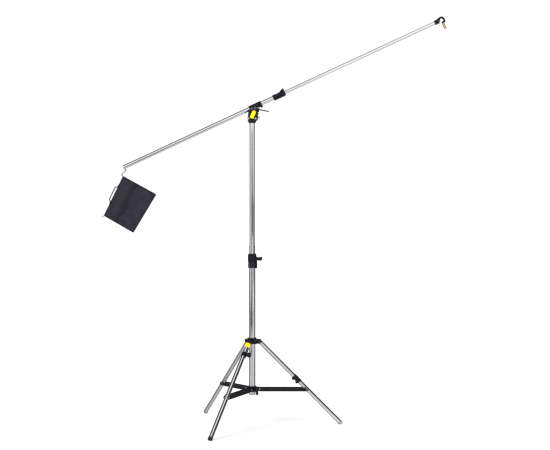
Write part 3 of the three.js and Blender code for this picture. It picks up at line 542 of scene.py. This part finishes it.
refined("levelling_bracket", CAST, "leg_front", 0.5)
lathe_piece("levelling_bush", [(11.4, -42), (14.4, -42), (14.4, -31), (14.0, -30.4), (14.0, -28), (14.4, -27.4),
            (14.4, -16), (11.4, -16)], YELLOW, "leg_front", "yellow_plastic", LEG["front"])
KNOB = LEG["front"] @ shift(0, 0, -LEVELLING_KNOB_DOWN) @ ALONG_Y
lathe_piece("levelling_knob", [(0, 11.4), (3.2, 11.4), (3.2, 20.5), (9, 20.5), (10, 25), (12.4, 27), (14, 28.5),
            (14, 32), (14, 35), (14, 38), (14, 41), (12, 43), (0, 43)], PLASTIC, "levelling_screw",
            "black_plastic", KNOB, 0.8, sides=96, lobes=8, depth=1.8, grip=(26.5, 41.5))
knob_cap = turned(rounded([(0, 43), (7.5, 43), (7.5, 43.5), (6.9, 44), (0, 44.1)], 0.3), 48)
put("levelling_knob_cap", knob_cap, PLASTIC_EDGE_WEAR_AND_HIGHLIGHT, "levelling_screw", KNOB)
lathe_piece("levelling_guide", [(11.4, -411), (14.2, -411), (14.2, -406), (13.7, -405), (13.7, -395),
            (14.2, -394), (14.2, -389), (11.4, -389)], STEEL, "leg_front", "steel_fittings", LEG["front"])
# The small dark set screw in the yellow bush.
bush_screw = turned(rounded([(0, 14), (3, 14), (3, 15), (1.4, 15), (1.4, 14.4), (0, 14.4)], 0.2), 32)
put("levelling_bush_screw", bush_screw, PLASTIC, "leg_front",
    LEG["front"] @ shift(0, 0, -24) @ turn(12, "Z") @ ALONG_X)

# ---- Braces ----

RIVET = [(0, 0), (4.6, 0), (4.4, 0.8), (3.2, 1.7), (1.6, 2.1), (0, 2.2)]
for name in LEG_TURNS:
    body = f"spreader_{name}"
    refined(f"brace_{name}", PAINTED, body, 0.5)
    for end, along, out in (("inner", 0, 17.3), ("outer", BRACE_LENGTH, 16.7)):
        for side, facing in (("left", ALONG_Y), ("right", ALONG_LOW_Y)):
            put(f"brace_rivet_{name}_{end}_{side}", turned(rounded(RIVET, 0.3), 32), STEEL, body,
                BRACE[name] @ shift(along, 0, 0) @ facing @ shift(0, 0, out))
for name in ("right", "rear"):
    lathe_piece(f"brace_stud_{name}", [(0, -14.4), (4, -14.4), (4, 14.4), (0, 14.4)], STEEL, f"leg_{name}",
                "steel_fittings", LEG[name] @ shift(0, 0, -BRACE_ON_LEG) @ ALONG_Y, 0.6, sides=48)
refined("brace_collar", CAST, "spreader", 0.5)
refined("brace_collar_knob", MOULDED, "spreader_screw", 1.4, 3)

# ---- Head ----

refined("head_socket", CAST, "head", 0.8)
refined("head_cheek_front", CAST, "head", 0.9, 3)
refined("head_cheek_rear", CAST, "head", 0.9, 3)
HEAD_BOLT = [(0, 28), (2.8, 28), (2.8, 31), (4.6, 31), (5.6, 30), (5.6, 27.6), (3.5, 27.6), (3.5, -27.6),
             (5.6, -27.6), (5.6, -30), (4.6, -31), (0, -31)]
for name, x in (("left", -21.2), ("right", 21.2)):
    lathe_piece(f"head_bolt_{name}", HEAD_BOLT, STEEL, "head", "steel_fittings",
                COLUMN @ shift(x, 0, HEAD_BOLT_HEIGHT) @ ALONG_LOW_Y, 0.4, sides=48, hexagon=(2.8, 27.9, 31.5))
SCREW_HEAD = [(0, 27.2), (3.4, 27.2), (3.4, 28.4), (2.6, 29.2), (1.5, 29.3), (1.5, 28.2), (0, 28.2)]
for place, x, z in (("low", 36, 1846), ("high", 36, 1874), ("far", 0, 1869)):
    for side, facing in (("front", ALONG_LOW_Y), ("rear", ALONG_Y)):
        put(f"head_screw_{place}_{side}", turned(rounded(SCREW_HEAD, 0.25), 40, hexagon=(1.5, 28, 30)), STEEL,
            "head", COLUMN @ shift(x, 0, z) @ facing)
refined("head_label", (YELLOW, YELLOW, "yellow_plastic"), "head", 0.3)
lathe_piece("swivel_lock_screw", [(0, 16.4), (3, 16.4), (3, 36), (5.5, 36), (5.5, 38), (5.5, 41), (5.5, 44),
            (5.5, 46), (4.5, 47), (2.4, 47), (2.4, 45), (0, 45)], STEEL, "swivel_screw", "steel_fittings",
            COLUMN @ shift(0, 0, SWIVEL_SCREW_HEIGHT) @ ALONG_X, 0.3, sides=96, lobes=24, depth=0.35,
            grip=(36.5, 45.8))
refined("tilt_lever", (PAINT, PAINT, "black_steel"), "lever", 1.3, 3)
lathe_piece("tilt_cap", [(0, 30.4), (2.6, 30.4), (2.6, 32), (7, 32), (9, 30.4), (9, 28.4), (0, 28.4)], PAINT_EDGE_WEAR_AND_HIGHLIGHT,
            "boom_holder", "black_steel", COLUMN @ shift(*TILT_PIVOT) @ ALONG_LOW_Y, 0.4, sides=48,
            hexagon=(2.6, 30, 33))

# ---- Boom ----

refined("boom_clamp", CAST, "boom_holder", 0.8)
tube("boom_outer_tube", 12.5, -837, 190, "boom", BOOM @ ALONG_X)
tube("boom_inner_tube", 10, 92, 1200, "extension", BOOM @ ALONG_X)
lathe_piece("boom_end_plug", [(0, -834), (9.6, -834), (11, -833), (11, -820), (0, -820)], GREY, "boom",
            "grey_plastic", BOOM @ ALONG_X)
lathe_piece("boom_inner_bush", [(0, 86), (10.9, 86), (10.9, 91.7), (8.5, 91.7), (8.5, 104), (0, 104)], GREY,
            "extension", "grey_plastic", BOOM @ ALONG_X)
refined("boom_end_eye", (YELLOW_ZINC, YELLOW_ZINC, "steel_fittings"), "boom", 0.2)
refined("extension_clamp", CAST, "boom", 0.7)
lathe_piece("extension_clamp_screw", [(0, 13), (4, 13), (4, 17), (3.2, 18.2), (1.8, 18.2), (1.8, 16.6),
            (0, 16.6)], STEEL, "boom", "steel_fittings", BOOM @ shift(164, 0, 0) @ turn(45, "X"), 0.3, sides=48,
            hexagon=(1.8, 16, 19))
refined("extension_lock_knob", MOULDED, "wing_knob", 1.2, 3)
refined("tip_casting", CAST, "extension", 0.8)
lathe_piece("spigot", [(0, -58), (7, -58), (8, -57), (8, -43), (6.5, -41), (6.5, -34), (8, -32), (8, -21.3),
            (4, -21.3), (4, -13), (0, -13)], BRASS, "extension", "brass_spigot", BOOM @ shift(1231, 0, 0), 0.5,
            sides=80)

PIN = BOOM @ shift(1212, -15.4, -9) @ turn(BOOM_RISE, "Y")
pin_rod = turned(rounded([(0, -34), (1.6, -34), (1.6, -5.6), (1.1, -4.6), (0, -4.2)], 0.8), 24)
put("tip_pin_piece", joined(ring_mesh(4, 1.3), pin_rod), STEEL, "pin", PIN, ("tip_pin",))

# ---- Counterweight bag ----

# The bag lies in its own XZ plane, with its first corner at the top ring. Lengths in mm.
BAG_WIDTH = 224
BAG_HEIGHT = 262
CORNERS = [(0, 0), (BAG_WIDTH, 0), (214.5, -264), (13.3, -260)]
# How far each panel stands from that plane: at the seam, in the middle before it is filled, and at most.
LEAST_DEPTH = 0.7
FLAT_DEPTH = 4.0
MOST_DEPTH = 11.0
COLUMNS, ROWS = 64, 74
CLOTH_STEPS = 20


def on_bag(u, v):
    """The point of the bag's plane at u along its top and v down its side."""
    _, (width, _), (right, right_drop), (left, left_drop) = CORNERS
    top = width * u
    bottom, bottom_drop = left + (right - left) * u, left_drop + (right_drop - left_drop) * u
    return top + (bottom - top) * v, bottom_drop * v


# Soft creases on the front: from, to, half width and height. The back has the same, mirrored.
CREASES = [
    ((92, -10), (90, -228), 12, -5.0),
    ((110, -26), (106, -230), 10, 3.4),
    ((91, -13), (37, -51), 9, -3.4),
    ((52, -66), (88, -38), 8, 2.6),
    ((88, -118), (128, -244), 10, 4.0),
    ((62, -150), (76, -246), 8, -4.4),
    ((156, -152), (212, -92), 12, -3.4),
    ((132, -66), (176, -236), 12, -3.4),
    ((36, -110), (30, -226), 12, 2.4),
    ((168, -30), (210, -66), 12, 2.2),
    ((110, -176), (150, -120), 12, 2.2),
]


def crease_height(x, z, side):
    """How far all the creases together lift the cloth at this point."""
    total = 0.0
    for (x0, z0), (x1, z1), width, height in CREASES:
        if side > 0:
            x0, x1 = BAG_WIDTH - x0, BAG_WIDTH - x1
        a, b = Vector((x0, z0)), Vector((x1, z1))
        along = b - a
        t = max(0.0, min(1.0, (Vector((x, z)) - a).dot(along) / along.length_squared))
        away = (Vector((x, z)) - (a + along * t)).length
        fade = math.sin(math.pi * (0.12 + 0.76 * t)) ** 0.7
        total += height * fade * math.exp(-((away / width) ** 2))
    return total


def bag_shell():
    """Two panels that share their seam, a little apart in the middle."""
    mesh = bmesh.new()
    rows = {}
    for side in (-1, 1):
        for j in range(ROWS + 1):
            for i in range(COLUMNS + 1):
                edge = i in (0, COLUMNS) or j in (0, ROWS)
                if side > 0 and edge:
                    rows[side, i, j] = rows[-1, i, j]
                    continue
                u, v = i / COLUMNS, j / ROWS
                x, z = on_bag(u, v)
                crown = (math.sin(math.pi * u) * math.sin(math.pi * v)) ** 0.35
                y = 0.0 if edge else side * (0.6 + FLAT_DEPTH * crown)
                rows[side, i, j] = mesh.verts.new((x * MM, y * MM, z * MM))
        for j in range(ROWS):
            for i in range(COLUMNS):
                quad = [rows[side, i, j], rows[side, i + 1, j], rows[side, i + 1, j + 1], rows[side, i, j + 1]]
                mesh.faces.new(quad if side < 0 else quad[::-1])
    bmesh.ops.recalc_face_normals(mesh, faces=mesh.faces)
    data = bpy.data.meshes.new("bag_cloth")
    mesh.to_mesh(data)
    mesh.free()
    return data


def fill_bag(data, most=9.0):
    """Cloth under a light pressure from inside, which puckers at the seam. No point moves further than that
    many mm."""
    shell = bpy.data.objects.new("bag_trial", data.copy())
    bpy.context.scene.collection.objects.link(shell)
    seam = shell.vertex_groups.new(name="seam")
    flat = [v.index for v in data.vertices if abs(v.co.y) < 1e-6]
    seam.add(flat, 1.0, "REPLACE")
    cloth = shell.modifiers.new("cloth", "CLOTH")
    settings = cloth.settings
    settings.quality = 5
    settings.mass = 0.25
    settings.tension_stiffness = 25
    settings.compression_stiffness = 12
    settings.bending_stiffness = 0.4
    settings.vertex_group_mass = "seam"
    settings.pin_stiffness = 0.6
    settings.shrink_min = -0.012
    settings.use_pressure = True
    settings.uniform_pressure_force = 1.6
    settings.effector_weights.gravity = 0
    cloth.collision_settings.use_collision = False
    scene = bpy.context.scene
    for step in range(CLOTH_STEPS):
        scene.frame_set(step + 1)
    after = shell.evaluated_get(bpy.context.evaluated_depsgraph_get()).data
    moves = [a.co - b.co for a, b in zip(after.vertices, data.vertices)]
    for vertex, move in zip(data.vertices, moves):
        if move.length > most * MM:
            move = move.normalized() * most * MM
        vertex.co += move
    bpy.data.objects.remove(shell)
    scene.frame_set(1)


def shape_bag(data):
    """Creases and ripples on both panels, which stay within the depth the bag has."""
    for vertex in data.vertices:
        x, y, z = (c / MM for c in vertex.co)
        on_seam = abs(y) < 0.3
        if on_seam:
            continue
        side = -1 if y < 0 else 1
        u, v = x / BAG_WIDTH, -z / BAG_HEIGHT
        inside = min(1.0, 4.5 * max(0.0, min(u, 1 - u, v, 1 - v)))
        ripple = noise.noise(Vector((x * 0.018, side * 3.1, z * 0.018))) * 2.0
        ripple += noise.noise(Vector((x * 0.055, side * 7.7, z * 0.055))) * 0.9
        depth = max(LEAST_DEPTH, abs(y) + inside * (crease_height(x, z, side) + ripple))
        free = MOST_DEPTH - 3
        if depth > free:
            depth = free + 3 * math.tanh((depth - free) / 3)
        vertex.co.y = side * depth * MM


cloth_data = bag_shell()
fill_bag(cloth_data)
shape_bag(cloth_data)
cloth_mesh = bmesh.new()
cloth_mesh.from_mesh(cloth_data)
sandbag = put("bag_cloth_piece", cloth_mesh, NYLON, "bag", BAG, ("sandbag",), sharp=80,
              weighted=False)
smoothing = sandbag.modifiers.new("smooth cloth", "SUBSURF")
smoothing.levels = smoothing.render_levels = 1


def bag_border(inset, bend_length=5.0, pitch=6):
    """Points round the bag's outline, inset by that many mm, with small round corners."""
    corners = []
    for i, corner in enumerate(CORNERS):
        here = Vector(corner)
        to_before = (Vector(CORNERS[i - 1]) - here).normalized()
        to_after = (Vector(CORNERS[(i + 1) % 4]) - here).normalized()
        corners.append((here + (to_before + to_after) * inset, to_before, to_after))
    points = []
    for i, (here, to_before, to_after) in enumerate(corners):
        start = here + to_after * bend_length
        points += bend(here + to_before * bend_length, here, start, 5)
        following = corners[(i + 1) % 4][0]
        end = following + (here - following).normalized() * bend_length
        count = int((end - start).length / pitch)
        points += [start.lerp(end, k / count) for k in range(1, count)]
    return points


def border_wave(x, z):
    """How far the bag's edge strays from its plane."""
    return noise.noise(Vector((x * 0.03, 1.7, z * 0.03))) * 0.8


def binding():
    """A tape folded over the seam, slightly wavy."""
    path = [(x, border_wave(x, z), z) for x, z in bag_border(2.2)]
    section = [(-2.9, -1.7), (-2.2, -2.2), (2.2, -2.2), (2.9, -1.6), (3.0, 0), (2.9, 1.6), (2.2, 2.2),
               (-2.2, 2.2), (-2.9, 1.7), (-2.6, 0)]
    return swept(path, section, True)


put("bag_binding_piece", binding(), BINDING, "bag", BAG, sharp=60, weighted=False)


def add_stitch(mesh, start, end, across, side):
    """One raised stitch on the binding's front (-1) or back (1), wide in the direction across."""
    height = border_wave(start.x, start.z) + side * 2.1
    rings = []
    for point, width in ((start, 0.2), (start.lerp(end, 0.5), 0.45), (end, 0.2)):
        base = point + Vector((0, height, 0))
        lift = Vector((0, side * (width + 0.15), 0))
        corners = (base - across * width, base + lift, base + across * width, base - lift * 0.5)
        rings.append([mesh.verts.new(corner * MM) for corner in corners])
    for a, b in zip(rings, rings[1:]):
        for k in range(4):
            mesh.faces.new((a[k], a[(k + 1) % 4], b[(k + 1) % 4], b[k]))
    mesh.faces.new(rings[0])
    mesh.faces.new(rings[-1])


def stitches(length=2.4, pitch=3.6):
    """Small raised stitches along both faces of the binding."""
    mesh = bmesh.new()
    border = [Vector((p.x, 0, p.y)) for p in bag_border(3.6)]
    for side in (-1, 1):
        for a, b in zip(border, border[1:] + border[:1]):
            room = (b - a).length
            if room < 3:
                continue
            ahead = (b - a).normalized()
            across = ahead.cross(Vector((0, 1, 0)))
            at = 0.0
            while at + length < room:
                add_stitch(mesh, a + ahead * at, a + ahead * (at + length), across, side)
                at += pitch
    bmesh.ops.recalc_face_normals(mesh, faces=mesh.faces)
    return mesh


put("bag_stitches", stitches(), THREAD, "bag", BAG, sharp=60, weighted=False)


def bag_handle():
    """A webbing strap stood off the bag's side, bent at both ends and sewn flat to the binding."""
    down_and_out = [(60, 0.2), (66, 0.3), (71, 0.8), (74, 2.4), (75, 5), (75.4, 8), (77, 11), (80, 12.3),
                    (86, 12.6), (100, 12.9), (120, 13.1), (140, 12.9), (154, 12.6), (160, 12.3), (163, 11),
                    (164.6, 8), (165, 5), (166, 2.4), (169, 0.8), (174, 0.3), (180, 0.2)]
    foot_x, foot_z = CORNERS[3]
    path = [(-out + foot_x * down / -foot_z, 0, -down) for down, out in down_and_out]
    section = [(-2.0, -10.2), (-1.4, -11), (1.6, -11), (2.4, -10.2), (2.8, -5), (2.9, 0), (2.8, 5), (2.4, 10.2),
               (1.6, 11), (-1.4, 11), (-2.0, 10.2), (-2.4, 5), (-2.4, 0), (-2.4, -5)]
    return swept(path, section)


put("bag_handle_piece", bag_handle(), WEBBING, "bag", BAG, ("bag_handle",), sharp=50, weighted=False)


def webbing_loop(x, z, radius, wire, inner):
    """A narrow tape that goes round a ring's wire and back into the bag's seam at the point inner."""
    end = Vector((inner[0], 0, inner[1]))
    toward = (end - Vector((x, 0, z))).normalized()
    round_wire = Vector((x, 0, z)) + toward * radius
    across = toward.cross(Vector((0, 1, 0)))
    wrap = wire + 1.0
    path = [end + across * 0.9, round_wire.lerp(end, 0.5) + across * 1.3]
    for k in range(9):
        angle = math.pi * k / 8
        path.append(round_wire + across * wrap * math.cos(angle) - toward * wrap * math.sin(angle))
    path += [round_wire.lerp(end, 0.5) - across * 1.3, end - across * 0.9]
    section = [(-0.55, -4.2), (0.55, -4.2), (0.55, 0), (0.55, 4.2), (-0.55, 4.2), (-0.55, 0)]
    return swept(path, section)


for name, radius, wire, x, z, tab, inner in (
    ("bag_ring", 6, 1.5, -9.6, 1.5, "bag_ring_tab", (4.5, -4.5)),
    ("bag_low_ring", 4.8, 1.2, 9.5, -269, "bag_low_ring_tab", (19, -254)),
):
    put(name + "_piece", ring_mesh(radius, wire), STEEL, "bag", BAG @ shift(x, 0, z), (name,),
        sharp=60)
    put(tab + "_piece", webbing_loop(x, z, radius, wire, inner), WEBBING, "bag", BAG, (tab,), sharp=50,
        weighted=False)


def hook_mesh(radius=5, half=11.2, wire=1.9):
    """A long wire link: two round bends joined by straight legs."""
    path = []
    for end in (1, -1):
        for k in range(25):
            angle = math.pi * k / 24 + (0 if end > 0 else math.pi)
            path.append((0, radius * math.cos(angle), end * half + radius * math.sin(angle)))
        path += [(0, -end * radius, end * half * (1 - k / 6)) for k in range(1, 12)]
    return swept(path, circle(wire), True, up=(1, 0, 0))


put("bag_hook_piece", hook_mesh(), YELLOW_ZINC, "hook", HOOK, ("bag_hook",), sharp=60)

# ---- Studio ----

# A floor just under the feet, which shows only the shadows on it.
bpy.ops.mesh.primitive_grid_add(x_subdivisions=8, y_subdivisions=8, size=60, location=(0, 0, -0.0005))
floor = bpy.context.object
floor.name = "studio_floor"
paper, tree, shader = surface("studio_floor", Roughness=0.9, Emission_Color=(1, 1, 1, 1), Emission_Strength=0.5)
tone = two_tone(tree, pattern(tree, 0.8), (0.93, 0.93, 0.93), (0.90, 0.90, 0.90))
tree.links.new(tone, shader.inputs["Base Color"])
floor.data.materials.append(paper)
floor.visible_glossy = False
floor.is_shadow_catcher = True

# Grey panels in front, seen only in the plating: left, right, bottom and top edge, in metres from the
# column's foot, and brightness.
PANELS_Y = -1.4
for name, left, right, bottom, top, grey in (
    ("floor", -1.3, 1.3, -0.5, 0.40, 0.62),
    ("foot", -1.45, -0.05, 0.40, 0.60, 0.03),
    ("foot_left", -4.2, -1.5, 0.12, 0.47, 0.03),
    ("foot_right", 0.05, 1.6, 0.40, 0.57, 0.36),
    ("lower", -0.95, 0.4, 0.60, 0.86, 0.05),
    ("middle", -0.95, 0.15, 0.86, 1.08, 0.12),
    ("high", -0.95, 0.9, 1.08, 1.36, 0.07),
    ("side", 1.3, 3.8, 0.70, 1.36, 0.05),
    ("upper", -0.9, 0.9, 1.36, 1.56, 0.24),
    ("topmost", -0.9, 0.9, 1.56, 1.84, 0.42),
):
    title = f"studio_flag_{name}"
    flag = bpy.data.objects.new(title, bpy.data.meshes.new(title))
    corners = [(x, PANELS_Y, z) for x, z in ((left, bottom), (right, bottom), (right, top), (left, top))]
    flag.data.from_pydata([COLUMN @ Vector(p) for p in corners], [], [(0, 1, 2, 3)])
    glow = (grey, grey, grey * 1.03, 1)
    card, _, _ = surface(title, Roughness=1.0, Base_Color=(0, 0, 0, 1), Specular_IOR_Level=0.0,
                         Emission_Color=glow, Emission_Strength=1.0)
    flag.data.materials.append(card)
    bpy.context.scene.collection.objects.link(flag)
    flag.visible_camera = flag.visible_diffuse = flag.visible_shadow = flag.visible_transmission = False

world = bpy.data.worlds.new("studio")
bpy.context.scene.world = world
world.use_nodes = True
sky = world.node_tree
background = sky.nodes["Background"]
heading = node(sky, "TexCoord").outputs["Generated"]
direction = node(sky, "SeparateXYZ", {0: heading}).outputs


def spot(aim, level, start, end):
    """A bright patch of studio: full where the cosine to its aim is over end, none where it is under start."""
    near = node(sky, "VectorMath", {0: heading, 1: aim}, operation="DOT_PRODUCT").outputs["Value"]
    return spread(sky, near, 0.0, level, start, end)


# The studio as the plating sees it: bright in front, dark at the right, grey at the left and below.
front = spread(sky, direction["Y"], 1.15, 0.0, -0.66, -0.34)
back = spread(sky, direction["Y"], 0.0, 0.95, 0.86, 0.96)
left = spread(sky, direction["X"], 0.3, 0.0, -0.9, -0.6)
below = spread(sky, direction["Z"], 0.45, 0.04, -0.85, 0.0)
sideways = arithmetic(sky, "ABSOLUTE", direction["X"])
ahead = spread(sky, direction["Y"], 1.0, 0.0, -0.2, -0.05)
beside = arithmetic(sky, "MULTIPLY", spread(sky, sideways, 0.0, 0.75, 0.76, 0.86), ahead)
lamps = [spot(*place) for place in (
    ((0.20, -0.30, 0.93), 1.15, 0.84, 0.91),
    ((-0.456, -0.325, -0.827), 0.6, 0.85, 0.95),
    ((0.36, -0.42, -0.83), 1.0, 0.88, 0.94),
)]
seen = front
for level in (back, left, below, beside, *lamps):
    seen = arithmetic(sky, "MAXIMUM", seen, level)
dim = arithmetic(sky, "SUBTRACT", 1.0, spot((0.80, 0.0, 0.60), 1.0, 0.82, 0.87))
seen = arithmetic(sky, "MULTIPLY", seen, arithmetic(sky, "MAXIMUM", dim, 0.03))

# What the camera sees and what lights the matt surfaces are plain white.
path_kind = node(sky, "LightPath").outputs
strength = arithmetic(sky, "MULTIPLY", path_kind["Is Glossy Ray"], seen)
for kind, level in (("Is Camera Ray", 1.13), ("Is Diffuse Ray", 0.62)):
    strength = arithmetic(sky, "ADD", strength, arithmetic(sky, "MULTIPLY", path_kind[kind], level))
sky.links.new(strength, background.inputs["Strength"])
background.inputs["Color"].default_value = (1, 1, 1, 1)


def softbox(name, place, aim, size, power):
    """A soft light that the plating doesn't reflect."""
    data = bpy.data.lights.new(name, "AREA")
    data.shape, data.size, data.size_y, data.energy = "RECTANGLE", size[0], size[1], power
    lamp = bpy.data.objects.new(name, data)
    bpy.context.scene.collection.objects.link(lamp)
    lamp.location = place
    lamp.rotation_euler = (Vector(aim) - Vector(place)).to_track_quat("-Z", "Y").to_euler()
    lamp.visible_glossy = False


softbox("key", (-3.2, -3.6, 4.2), (0, 0, 1.2), (2.4, 2.4), 330)
softbox("fill", (3.6, -3.0, 2.6), (0, 0, 1.2), (1.6, 2.8), 80)
softbox("top", (0.4, 1.2, 5.2), (0, 0, 1.0), (3.0, 3.0), 90)

scene = bpy.context.scene
scene.view_settings.view_transform = "Standard"
scene.view_settings.look = "None"
